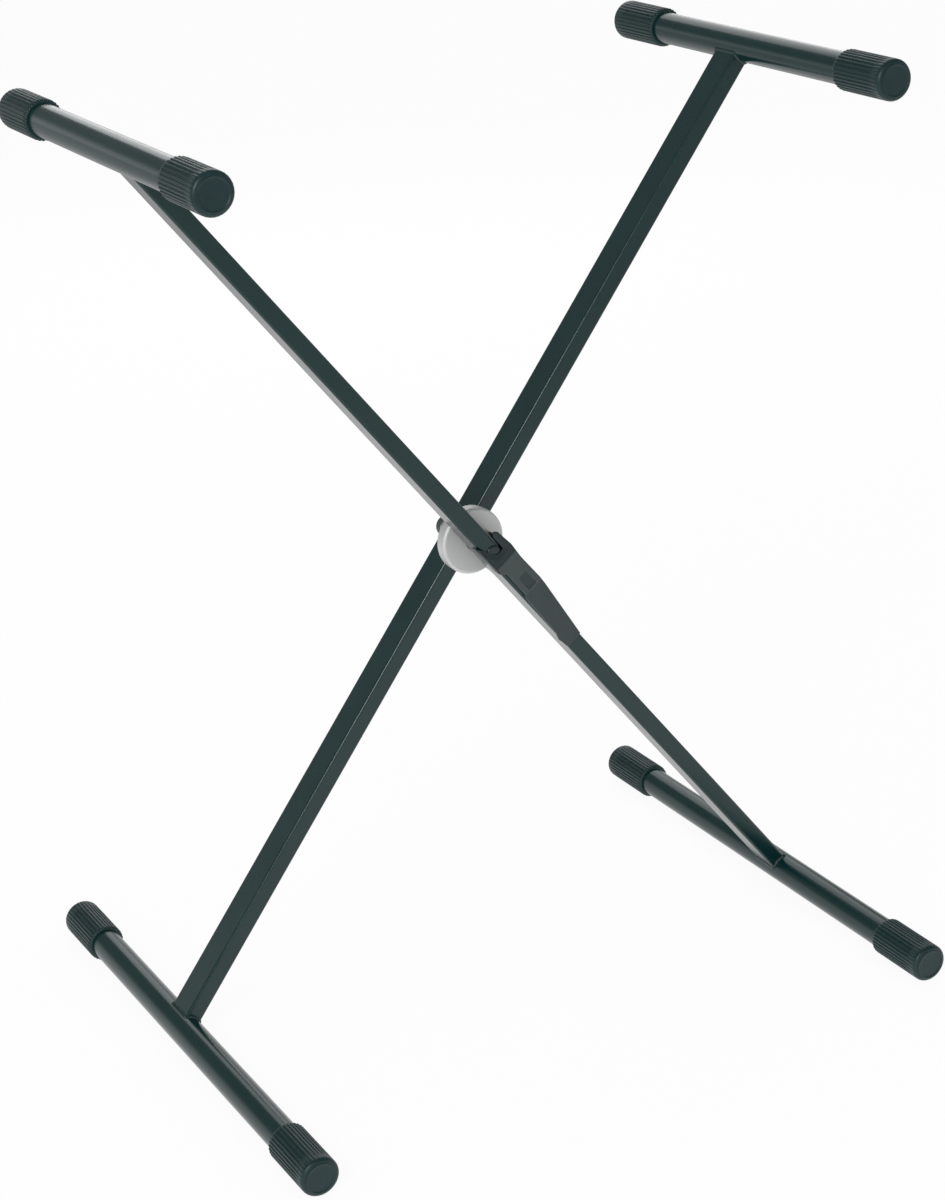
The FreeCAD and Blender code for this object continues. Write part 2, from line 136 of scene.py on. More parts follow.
class Socket:
    """An output socket on which Python's operators build Math nodes."""

    def __init__(self, tree: "NodeTree", socket: bpy.types.NodeSocket) -> None:
        """Wrap one socket.

        Args:
            tree: The tree that the socket's node is in.
            socket: The output socket.
        """
        self.tree = tree
        self.socket = socket

    def _math(self, operation: str, first: Any, second: Any) -> "Socket":
        """Return the result of one Math node."""
        node = self.tree.add("ShaderNodeMath", {"operation": operation}, {0: first, 1: second})
        return Socket(self.tree, node.outputs[0])

    def __add__(self, other: Any) -> "Socket":
        """Return self + other."""
        return self._math("ADD", self, other)

    def __sub__(self, other: Any) -> "Socket":
        """Return self - other."""
        return self._math("SUBTRACT", self, other)

    def __mul__(self, other: Any) -> "Socket":
        """Return self * other."""
        return self._math("MULTIPLY", self, other)

    def __or__(self, other: "Socket") -> "Socket":
        """Return the larger of the two."""
        return self._math("MAXIMUM", self, other)


class NodeTree:
    """Adds nodes to a shader or geometry tree from plain calls."""

    def __init__(self, tree: bpy.types.NodeTree) -> None:
        """Wrap one tree.

        Args:
            tree: A shader or geometry node tree.
        """
        self.tree = tree

    def add(self, kind: str, settings: dict | None = None, inputs: dict | None = None) -> bpy.types.Node:
        """Add a node.

        Args:
            kind: The node's type name.
            settings: Properties set before its sockets; "stops" are a colour ramp's.
            inputs: Values or links, by socket name or number.

        Returns:
            The new node.
        """
        node = self.tree.nodes.new(kind)
        for name, value in (settings or {}).items():
            if name == "stops":
                self._set_stops(node, value)
            else:
                setattr(node, name, value)
        for key, value in (inputs or {}).items():
            if isinstance(value, Socket):
                self.tree.links.new(value.socket, node.inputs[key])
            else:
                node.inputs[key].default_value = value
        return node

    @staticmethod
    def _set_stops(node: bpy.types.Node, stops: Sequence[tuple[float, float]]) -> None:
        """Set a colour ramp's first and last stops as greys."""
        for element, (place, grey) in zip(node.color_ramp.elements, stops):
            element.position = place
            element.color = (grey, grey, grey, 1.0)

    def out(self, node: bpy.types.Node, name: str | int = 0) -> Socket:
        """Return one output of a node as a Socket."""
        return Socket(self, node.outputs[name])


class Finish:
    """Builds a material from noise on Object coordinates and one Principled shader."""

    name = "finish"

    def tree(self) -> tuple[bpy.types.Material, NodeTree, Socket]:
        """Start an empty material.

        Returns:
            The material, its tree and the Object coordinates.
        """
        material = bpy.data.materials.new(self.name)
        material.use_nodes = True
        material.node_tree.nodes.clear()
        tree = NodeTree(material.node_tree)
        place = tree.out(tree.add("ShaderNodeTexCoord"), "Object")
        return material, tree, place

    @staticmethod
    def noise(tree: NodeTree, place: Socket, cell: float, detail: float = 2.0) -> Socket:
        """Return noise whose cells are about that many millimetres across."""
        inputs = {"Vector": place, "Scale": 1.0 / (cell * MM), "Detail": detail}
        return tree.out(tree.add("ShaderNodeTexNoise", None, inputs), 0)

    @staticmethod
    def bump(tree: NodeTree, height: Socket, depth: float, strength: float = 1.0) -> Socket:
        """Return a normal bent by a height whose full swing is depth millimetres."""
        inputs = {"Height": height, "Distance": depth * MM, "Strength": strength}
        return tree.out(tree.add("ShaderNodeBump", None, inputs), "Normal")

    @staticmethod
    def tint(tree: NodeTree, amount: Socket, low: Colour, high: Colour) -> Socket:
        """Return a colour between low and high."""
        settings = {"data_type": "RGBA"}
        inputs = {0: amount, 6: (*low, 1.0), 7: (*high, 1.0)}
        return tree.out(tree.add("ShaderNodeMix", settings, inputs), 2)

    @staticmethod
    def close(tree: NodeTree, inputs: dict[str, Any]) -> None:
        """Add the Principled shader with these inputs, and the material's output."""
        shader = tree.add("ShaderNodeBsdfPrincipled", None, inputs)
        tree.add("ShaderNodeOutputMaterial", None, {"Surface": tree.out(shader)})


def shade(colour: Colour, factor: float) -> Colour:
    """Return the colour made lighter or darker."""
    return tuple(channel * factor for channel in colour)


@dataclass(frozen=True)
class StovedPaint(Finish):
    """Satin black paint baked on steel tube, with a faint orange peel."""

    name: str = "stoved_black_paint"
    colour: Colour = (0.001, 0.021, 0.022)
    roughness: float = 0.22
    specular: float = 0.50
    peel_cell: float = 2.2
    peel_depth: float = 0.004
    haze_cell: float = 38.0

    def build(self) -> bpy.types.Material:
        """Return the material."""
        material, tree, place = self.tree()
        haze = self.noise(tree, place, self.haze_cell, 3.0)
        peel = self.noise(tree, place, self.peel_cell)
        self.close(tree, {
            "Base Color": self.tint(tree, haze, shade(self.colour, 0.8), shade(self.colour, 1.25)),
            "Roughness": haze * 0.10 + (self.roughness - 0.05),
            "Specular IOR Level": self.specular,
            "Normal": self.bump(tree, peel, self.peel_depth),
        })
        return material


@dataclass(frozen=True)
class MouldedRubber(Finish):
    """Black moulded rubber with a fine dull skin."""

    name: str = "moulded_rubber"
    colour: Colour = (0.003, 0.022, 0.024)
    roughness: float = 0.40
    specular: float = 0.42
    skin_cell: float = 0.55
    skin_depth: float = 0.02
    bloom_cell: float = 9.0

    def build(self) -> bpy.types.Material:
        """Return the material."""
        material, tree, place = self.tree()
        bloom = self.noise(tree, place, self.bloom_cell, 4.0)
        skin = self.noise(tree, place, self.skin_cell, 3.0)
        self.close(tree, {
            "Base Color": self.tint(tree, bloom, shade(self.colour, 0.7), shade(self.colour, 1.5)),
            "Roughness": bloom * 0.16 + (self.roughness - 0.08),
            "Specular IOR Level": self.specular,
            "Normal": self.bump(tree, skin, self.skin_depth),
        })
        return material


@dataclass(frozen=True)
class MouldedPlastic(Finish):
    """Black moulded plastic with a fine grain, and painted light from a mesh attribute: paler where it is
    high.
    """

    name: str = "grained_plastic"
    colour: Colour = (0.008, 0.020, 0.022)
    # the colour where the painted light is full
    painted_light_colour: Colour = (0.046, 0.060, 0.060)
    roughness: float = 0.42
    specular: float = 0.40
    grain_cell: float = 0.7
    grain_depth: float = 0.03
    mottle_cell: float = 14.0

    def build(self) -> bpy.types.Material:
        """Return the material."""
        material, tree, place = self.tree()
        tone = tree.out(tree.add("ShaderNodeAttribute", {"attribute_name": PAINTED_LIGHT}), "Fac")
        mottle = self.noise(tree, place, self.mottle_cell, 3.0)
        grain = self.noise(tree, place, self.grain_cell, 2.5)
        # painted light from the attribute, broken up by mottle noise
        amount = tone * (mottle * 0.5 + 0.75)
        self.close(tree, {
            "Base Color": self.tint(tree, amount, self.colour, self.painted_light_colour),
            "Roughness": mottle * 0.14 + (self.roughness - 0.07),
            "Specular IOR Level": self.specular,
            "Normal": self.bump(tree, grain, self.grain_depth),
        })
        return material


@dataclass(frozen=True)
class PlatedSteel(Finish):
    """Zinc-plated steel, from dull to bright."""

    name: str = "dull_zinc_plate"
    colour: Colour = (0.73, 0.745, 0.735)
    roughness: float = 0.65
    spangle_cell: float = 3.5
    spangle_share: float = 0.05
    scratch_depth: float = 0.004

    def build(self) -> bpy.types.Material:
        """Return the material."""
        material, tree, place = self.tree()
        spangle = self.noise(tree, place, self.spangle_cell, 4.0)
        fine = self.noise(tree, place, 0.4, 2.0)
        low = shade(self.colour, 1 - self.spangle_share)
        high = shade(self.colour, 1 + self.spangle_share)
        self.close(tree, {
            "Base Color": self.tint(tree, spangle, low, high),
            "Metallic": 1.0,
            "Roughness": spangle * 0.10 + (self.roughness - 0.05),
            "Normal": self.bump(tree, fine, self.scratch_depth),
        })
        return material


class Finishes:
    """Every finish of the stand, by the record's material slot."""

    def __init__(self) -> None:
        """Build the materials."""
        self.by_slot = {
            "black_paint": StovedPaint().build(),
            "black_rubber": MouldedRubber().build(),
            "zinc_plate": PlatedSteel().build(),
            "steel": PlatedSteel("bright_zinc_plate", (0.56, 0.57, 0.56), 0.30).build(),
            "black_steel": StovedPaint("blackened_steel", (0.004, 0.016, 0.018), 0.30).build(),
            "nylon": MouldedPlastic("black_nylon", (0.014, 0.022, 0.023), roughness=0.5).build(),
            "black_plastic": MouldedPlastic().build(),
        }

    def dress(self, piece: bpy.types.Object, slot: str) -> None:
        """Give a piece one finish all over."""
        piece.data.materials.clear()
        piece.data.materials.append(self.by_slot[slot])


# ---------------------------------------------------------------- shared mesh work


def new_piece(name: str, mesh: bpy.types.Mesh) -> bpy.types.Object:
    """Put a mesh in the scene as an object at the origin."""
    piece = bpy.data.objects.new(name, mesh)
    bpy.context.scene.collection.objects.link(piece)
    return piece


def smooth_by_angle(mesh: bpy.types.Mesh, degrees: float) -> None:
    """Shade a mesh smooth, with edges sharper than the angle kept sharp."""
    mesh.polygons.foreach_set("use_smooth", [True] * len(mesh.polygons))
    mesh.set_sharp_from_angle(angle=math.radians(degrees))


def settle(piece: bpy.types.Object) -> bpy.types.Mesh:
    """Turn a piece with modifiers into a plain mesh, and remove them.

    Args:
        piece: The object whose evaluated shape is wanted.

    Returns:
        The plain mesh, which the piece now has.
    """
    graph = bpy.context.evaluated_depsgraph_get()
    plain = bpy.data.meshes.new_from_object(piece.evaluated_get(graph), depsgraph=graph)
    piece.modifiers.clear()
    piece.data = plain
    return plain


class GeometryTree(NodeTree):
    """A Geometry Nodes group with named inputs, run on one object."""

    def __init__(self, name: str) -> None:
        """Start a group that takes and gives geometry.

        Args:
            name: The group's name.
        """
        super().__init__(bpy.data.node_groups.new(name, "GeometryNodeTree"))
        face = self.tree.interface
        face.new_socket("Geometry", in_out="INPUT", socket_type="NodeSocketGeometry")
        face.new_socket("Geometry", in_out="OUTPUT", socket_type="NodeSocketGeometry")
        self.values: dict[str, Any] = {}

    def take(self, name: str, kind: str, value: Any) -> None:
        """Declare a named input and the value that the modifier gives it."""
        self.tree.interface.new_socket(name, in_out="INPUT", socket_type=kind)
        self.values[name] = value

    def begin(self) -> bpy.types.Node:
        """Return the group's input node, once every input is declared."""
        return self.add("NodeGroupInput")

    def end(self, result: Socket, material: bpy.types.Material) -> None:
        """Realize the result, set its material and give it out."""
        real = self.add("GeometryNodeRealizeInstances", None, {"Geometry": result})
        dressed = self.add("GeometryNodeSetMaterial", None, {
            "Geometry": self.out(real), "Material": material})
        self.add("NodeGroupOutput", None, {0: self.out(dressed)})

    def run(self, piece: bpy.types.Object) -> bpy.types.Mesh:
        """Run the group on a piece and leave it a plain mesh."""
        modifier = piece.modifiers.new(self.tree.name, "NODES")
        modifier.node_group = self.tree
        for item in self.tree.interface.items_tree:
            if item.in_out == "INPUT" and item.name in self.values:
                modifier[item.identifier] = self.values[item.name]
        return settle(piece)


@dataclass
class LegFrame:
    """Where one leg lies: X down the leg, Y along the bars, Z square to the leg."""

    leg: Leg
    pivot: Vector

    def matrix(self) -> Matrix:
        """Return the leg's frame, in metres, with its origin at the pivot."""
        rest = centre_of(f"{self.leg.value}_rest_bar")
        foot = centre_of(f"{self.leg.value}_foot_bar")
        down = (foot - rest).normalized()
        along = Vector((0, 1, 0))
        square = down.cross(along)
        turn = Matrix((down, along, square)).transposed().to_4x4()
        return Matrix.Translation(self.pivot) @ turn


def centre_of(node: str) -> Vector:
    """Return the middle of a node's box."""
    low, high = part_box(node)
    return (low + high) / 2


# ---------------------------------------------------------------- rubber caps


@dataclass
class RibbedCap:
    """A ribbed rubber cap: one rib's wedge, repeated round the bar by Geometry Nodes."""

    finishes: Finishes
    radius: float = 17.48
    bore: float = 14.0
    length: float = 65.0
    end_wall: float = 4.0
    end_round: float = 3.8
    mouth_round: float = 2.6
    ribs: int = 33
    rib_height: float = 0.9
    rib_run: tuple[Point, ...] = (
        (7.0, 1.0), (20.0, 1.0), (36.0, 1.0), (49.0, 1.0), (53.0, 0.7), (57.0, 0.3))
    shoulder_rib: float = 0.18  # share of the ribs left where the end's rounding starts
    ring_radius: float = 13.2
    ring_half_width: float = 0.9
    ring_height: float = 0.65
    dish_depth: float = 0.8
    round_rows: int = 7

    def profile(self) -> list[tuple[float, float, float]]:
        """Return the wedge's (radius, place along the bar, share of the rib) from bore to centre."""
        end = self.length
        inside = end - self.end_wall
        points = [(0.0, inside, 0.0), (self.bore, inside, 0.0), (self.bore, 0.0, 0.0)]
        lip = self.radius - self.mouth_round
        points.append((lip, 0.0, 0.0))
        for row in range(1, self.round_rows + 1):
            angle = math.pi / 2 * row / self.round_rows
            out = lip + self.mouth_round * math.sin(angle)
            points.append((out, self.mouth_round * (1 - math.cos(angle)), row / self.round_rows))
        points += [(self.radius, along, share) for along, share in self.rib_run]
        shoulder = end - self.ring_height
        straight = shoulder - self.end_round
        turn = self.radius - self.end_round
        for row in range(self.round_rows + 1):
            angle = math.pi / 2 * row / self.round_rows
            share = self.shoulder_rib * max(0.0, 1.0 - 2.0 * row / self.round_rows)
            out = turn + self.end_round * math.cos(angle)
            points.append((out, straight + self.end_round * math.sin(angle), share))
        ring, half = self.ring_radius, self.ring_half_width
        dish = end - self.dish_depth
        points += [
            (ring + half * 0.7, end - self.ring_height * 0.45, 0.0),
            (ring + half * 0.3, end - self.ring_height * 0.08, 0.0),
            (ring, end, 0.0),
            (ring - half * 0.3, end - self.ring_height * 0.08, 0.0),
            (ring - half * 0.7, end - self.ring_height * 0.55, 0.0),
            (ring - half * 1.1, dish + 0.12, 0.0),
            (ring - half * 2.0, dish, 0.0),
            (ring / 2, dish + 0.05, 0.0),
            (0.0, dish + 0.08, 0.0),
        ]
        return points

    def wedge(self) -> bpy.types.Mesh:
        """Return the mesh of one rib and half a groove to each side."""
        pitch = 2 * math.pi / self.ribs
        half = ((-1.0, 0.0), (-0.68, 0.04), (-0.56, 0.40), (-0.44, 0.86), (-0.22, 1.0))
        columns = half + tuple((-place, height) for place, height in reversed(half))
        work = bmesh.new()
        rows = []
        for radius, along, share in self.profile():
            row = []
            for place, height in columns:
                reach = max(0.0, radius - self.rib_height * share * (1 - height))
                angle = place * pitch / 2
                spot = (reach * math.cos(angle), along, -reach * math.sin(angle))
                row.append(work.verts.new(Vector(spot) * MM))
            rows.append(row)
        for low, high in zip(rows, rows[1:]):
            for k in range(len(columns) - 1):
                work.faces.new((low[k], low[k + 1], high[k + 1], high[k]))
        bmesh.ops.remove_doubles(work, verts=work.verts, dist=1e-7)
        mesh = bpy.data.meshes.new("cap_wedge")
        work.to_mesh(mesh)
        work.free()
        return mesh

    def ring_tree(self) -> GeometryTree:
        """Return the group that repeats the wedge round the bar."""
        tree = GeometryTree("ribs_round_cap")
        tree.take("Rib Count", "NodeSocketInt", self.ribs)
        tree.take("Weld Distance", "NodeSocketFloat", 0.00001)
        start = tree.begin()
        count = tree.out(start, "Rib Count")
        points = tree.add("GeometryNodePoints", None, {"Count": count})
        step = tree.add("ShaderNodeMath", {"operation": "DIVIDE"}, {0: 2 * math.pi, 1: count})
        turn = tree.out(tree.add("GeometryNodeInputIndex")) * tree.out(step)
        spin = tree.add("ShaderNodeCombineXYZ", None, {"Y": turn})
        copies = tree.add("GeometryNodeInstanceOnPoints", None, {
            "Points": tree.out(points), "Instance": tree.out(start, "Geometry"), "Rotation": tree.out(spin)})
        real = tree.add("GeometryNodeRealizeInstances", None, {"Geometry": tree.out(copies)})
        whole = tree.add("GeometryNodeMergeByDistance", None, {
            "Geometry": tree.out(real), "Distance": tree.out(start, "Weld Distance")})
        tree.end(tree.out(whole), self.finishes.by_slot["black_rubber"])
        return tree

    def whole(self) -> bpy.types.Mesh:
        """Return one finished cap, with its mouth at Y 0 and its closed end at Y length."""
        piece = new_piece("cap_pattern", self.wedge())
        mesh = self.ring_tree().run(piece)
        bpy.data.objects.remove(piece)
        work = bmesh.new()
        work.from_mesh(mesh)
        bmesh.ops.recalc_face_normals(work, faces=work.faces)
        work.to_mesh(mesh)
        work.free()
        smooth_by_angle(mesh, 42.0)
        return mesh

    def place(self, frames: dict[Leg, Matrix]) -> None:
        """Put a cap on each bar end in place of the frame's."""
        pattern = self.whole()
        for leg, frame in frames.items():
            turn = frame.to_3x3().to_4x4()
            for use in Use:
                for end in End:
                    node = f"{leg.value}_{use.value}_cap_{end.name.lower()}"
                    low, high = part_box(node)
                    mouth = low.y if end is End.FAR else high.y
                    middle = (low + high) / 2
                    flip = Matrix.Rotation(math.pi if end is End.NEAR else 0.0, 4, "Z")
                    mesh = pattern.copy()
                    mesh.transform(Matrix.Translation((middle.x, mouth, middle.z)) @ turn @ flip)
                    piece = new_piece(f"{node}_ribbed", mesh)
                    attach(piece, f"{leg.value}_frame")
                    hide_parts(node)
                    LOG.info("cap %s: %d faces", piece.name, len(mesh.polygons))


# ---------------------------------------------------------------- welds


@dataclass
class WeldBeads:
    """The rippled fillet round each leg end, laid by Geometry Nodes along the joint."""

    finishes: Finishes
    bar_radius: float = 14.0
    leg_depth: float = 30.0
    leg_width: float = 16.0
    leg_corner: float = 2.2
    throw: float = 2.4  # how far the fillet reaches up the leg and out along the bar
    sink: float = 0.27  # share of the throw at which a ripple's middle lies
    thickness: float = 0.85
    ripple_pitch: float = 1.2
    ripple_length: float = 1.15
    ripple_reach: float = 0.78  # share of the throw
    ripple_scatter: Point = (0.94, 1.04)
    seed: int = 7

    def outline(self) -> list[tuple[Point, Point]]:
        """Return points round the leg's section with the outward direction at each."""
        half_y = self.leg_depth / 2 - self.leg_corner
        half_z = self.leg_width / 2 - self.leg_corner
        corners = ((half_y, half_z), (-half_y, half_z), (-half_y, -half_z), (half_y, -half_z))
        found: list[tuple[Point, Point]] = []
        for k, (cy, cz) in enumerate(corners):
            for step in range(4):
                angle = math.pi / 2 * (k + step / 3)
                out = (math.cos(angle), math.sin(angle))
                found.append(((cy + self.leg_corner * out[0], cz + self.leg_corner * out[1]), out))
            ny, nz = corners[(k + 1) % 4]
            count = int(math.hypot(ny - cy, nz - cz) / self.ripple_pitch)
            angle = math.pi / 2 * (k + 1)
            out = (math.cos(angle), math.sin(angle))
            for step in range(1, count):
                share = step / count
                y = cy + (ny - cy) * share + self.leg_corner * out[0]
                z = cz + (nz - cz) * share + self.leg_corner * out[1]
                found.append(((y, z), out))
        return found

    def path(self, name: str, bar_x: float, side: int, leg_y: float) -> bpy.types.Object:
        """Return points along the joint, in the leg's frame, with their directions as attributes."""
        places, leans, runs = [], [], []
        for (y, z), (out_y, out_z) in self.outline():
            reach = math.sqrt(self.bar_radius**2 - z**2)
            joint = Vector((bar_x + side * reach, leg_y + y, z))
            outward = Vector((0.0, out_y, out_z))
            bar_out = Vector((side * reach, 0.0, z)) / self.bar_radius
            along_bar = (outward - bar_out * outward.dot(bar_out)).normalized()
            up_leg = Vector((side, 0.0, 0.0))
            places.append((joint + (up_leg + along_bar) * self.throw * self.sink) * MM)
            leans.append((up_leg - along_bar).normalized())
            runs.append(up_leg.cross(along_bar).normalized())
        mesh = bpy.data.meshes.new(name)
        mesh.from_pydata(places, [], [])
        for key, values in (("lean", leans), ("run", runs)):
            layer = mesh.attributes.new(key, "FLOAT_VECTOR", "POINT")
            layer.data.foreach_set("vector", [c for value in values for c in value])
        return new_piece(name, mesh)

    def tree(self) -> GeometryTree:
        """Return the group that sets a ripple at each point."""
        tree = GeometryTree("weld_ripples")
        tree.take("Throw", "NodeSocketFloat", self.throw * MM)
        tree.take("Thickness", "NodeSocketFloat", self.thickness * MM)
        tree.take("Ripple Length", "NodeSocketFloat", self.ripple_length * MM)
        tree.take("Seed", "NodeSocketInt", self.seed)
        start = tree.begin()
        ball = tree.add("GeometryNodeMeshIcoSphere", None, {"Radius": 1.0, "Subdivisions": 3})
        size = tree.add("ShaderNodeCombineXYZ", None, {
            "X": tree.out(start, "Throw") * self.ripple_reach, "Y": tree.out(start, "Thickness"),
            "Z": tree.out(start, "Ripple Length")})
        scatter = tree.add("FunctionNodeRandomValue", {"data_type": "FLOAT"}, {
            "Min": self.ripple_scatter[0], "Max": self.ripple_scatter[1], "Seed": tree.out(start, "Seed")})
        scale = tree.add("ShaderNodeVectorMath", {"operation": "SCALE"}, {
            0: tree.out(size), "Scale": tree.out(scatter, 1)})
        named = "GeometryNodeInputNamedAttribute"
        lean = tree.add(named, {"data_type": "FLOAT_VECTOR"}, {"Name": "lean"})
        run = tree.add(named, {"data_type": "FLOAT_VECTOR"}, {"Name": "run"})
        aim = tree.add("FunctionNodeAxesToRotation", {"primary_axis": "Z", "secondary_axis": "X"}, {
            "Primary Axis": tree.out(run), "Secondary Axis": tree.out(lean)})
        ripples = tree.add("GeometryNodeInstanceOnPoints", None, {
            "Points": tree.out(start, "Geometry"), "Instance": tree.out(ball),
            "Rotation": tree.out(aim), "Scale": tree.out(scale)})
        tree.end(tree.out(ripples), self.finishes.by_slot["black_paint"])
        return tree

    def place(self, frames: dict[Leg, Matrix], pivot: Vector) -> None:
        """Lay a bead at each end of each leg in place of the frame's."""
        for leg, frame in frames.items():
            leg_y = centre_of(f"{leg.value}_leg_tube").y / MM
            for use, side in ((Use.REST, 1), (Use.FOOT, -1)):
                node = f"{leg.value}_{use.value}_weld"
                reach = (centre_of(f"{leg.value}_{use.value}_bar") - pivot).xz.length / MM
                piece = self.path(f"{node}_bead", -side * reach, side, leg_y)
                bead = self.tree().run(piece)
                bead.transform(frame)
                smooth_by_angle(bead, 60.0)
                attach(piece, f"{leg.value}_frame")
                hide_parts(node)
                LOG.info("weld %s: %d faces", piece.name, len(bead.polygons))


# ---------------------------------------------------------------- clamp lever


def rounded(outline: Sequence[Point], radius: float, steps: int = 5) -> list[Point]:
    """Return an outline with its corners rounded.

    Args:
        outline: The corners, in order.
        radius: How far from each corner its rounding starts, at most.
        steps: Points in each rounding.

    Returns:
        The outline's points.
    """
    points: list[Point] = []
    for k, corner in enumerate(outline):
        here = Vector(corner)
        before, after = Vector(outline[k - 1]), Vector(outline[(k + 1) % len(outline)])
        cut = min(radius, 0.45 * (before - here).length, 0.45 * (after - here).length)
        start = here + (before - here).normalized() * cut
        end = here + (after - here).normalized() * cut
        for step in range(steps + 1):
            share = step / steps
            low, high = start.lerp(here, share), here.lerp(end, share)
            points.append(tuple(low.lerp(high, share)))
    return points


def densified(outline: Sequence[Point], pitch: float) -> list[Point]:
    """Return an outline with points no further apart than the pitch."""
    points: list[Point] = []
    for k, first in enumerate(outline):
        second = outline[(k + 1) % len(outline)]
        count = max(1, math.ceil(math.dist(first, second) / pitch))
        for step in range(count):
            share = step / count
            points.append((first[0] + (second[0] - first[0]) * share,
                           first[1] + (second[1] - first[1]) * share))
    return points


def ramp(value: float, start: float, end: float) -> float:
    """Return 0 before the start, 1 after the end and a smooth step between."""
    share = min(1.0, max(0.0, (value - start) / (end - start)))
    return share * share * (3 - 2 * share)


def quarter_round(away: float, radius: float) -> float:
    """Return how far a rounded edge has fallen at a distance from the edge."""
    return radius - math.sqrt(max(0.0, radius**2 - max(0.0, radius - max(0.0, away)) ** 2))


def segment_distance(spot: Point, start: Point, end: Point) -> float:
    """Return the distance from a spot to the segment between two points."""
    run = Vector(end) - Vector(start)
    offset = Vector(spot) - Vector(start)
    share = min(1.0, max(0.0, offset.dot(run) / run.length_squared))
    return (offset - run * share).length


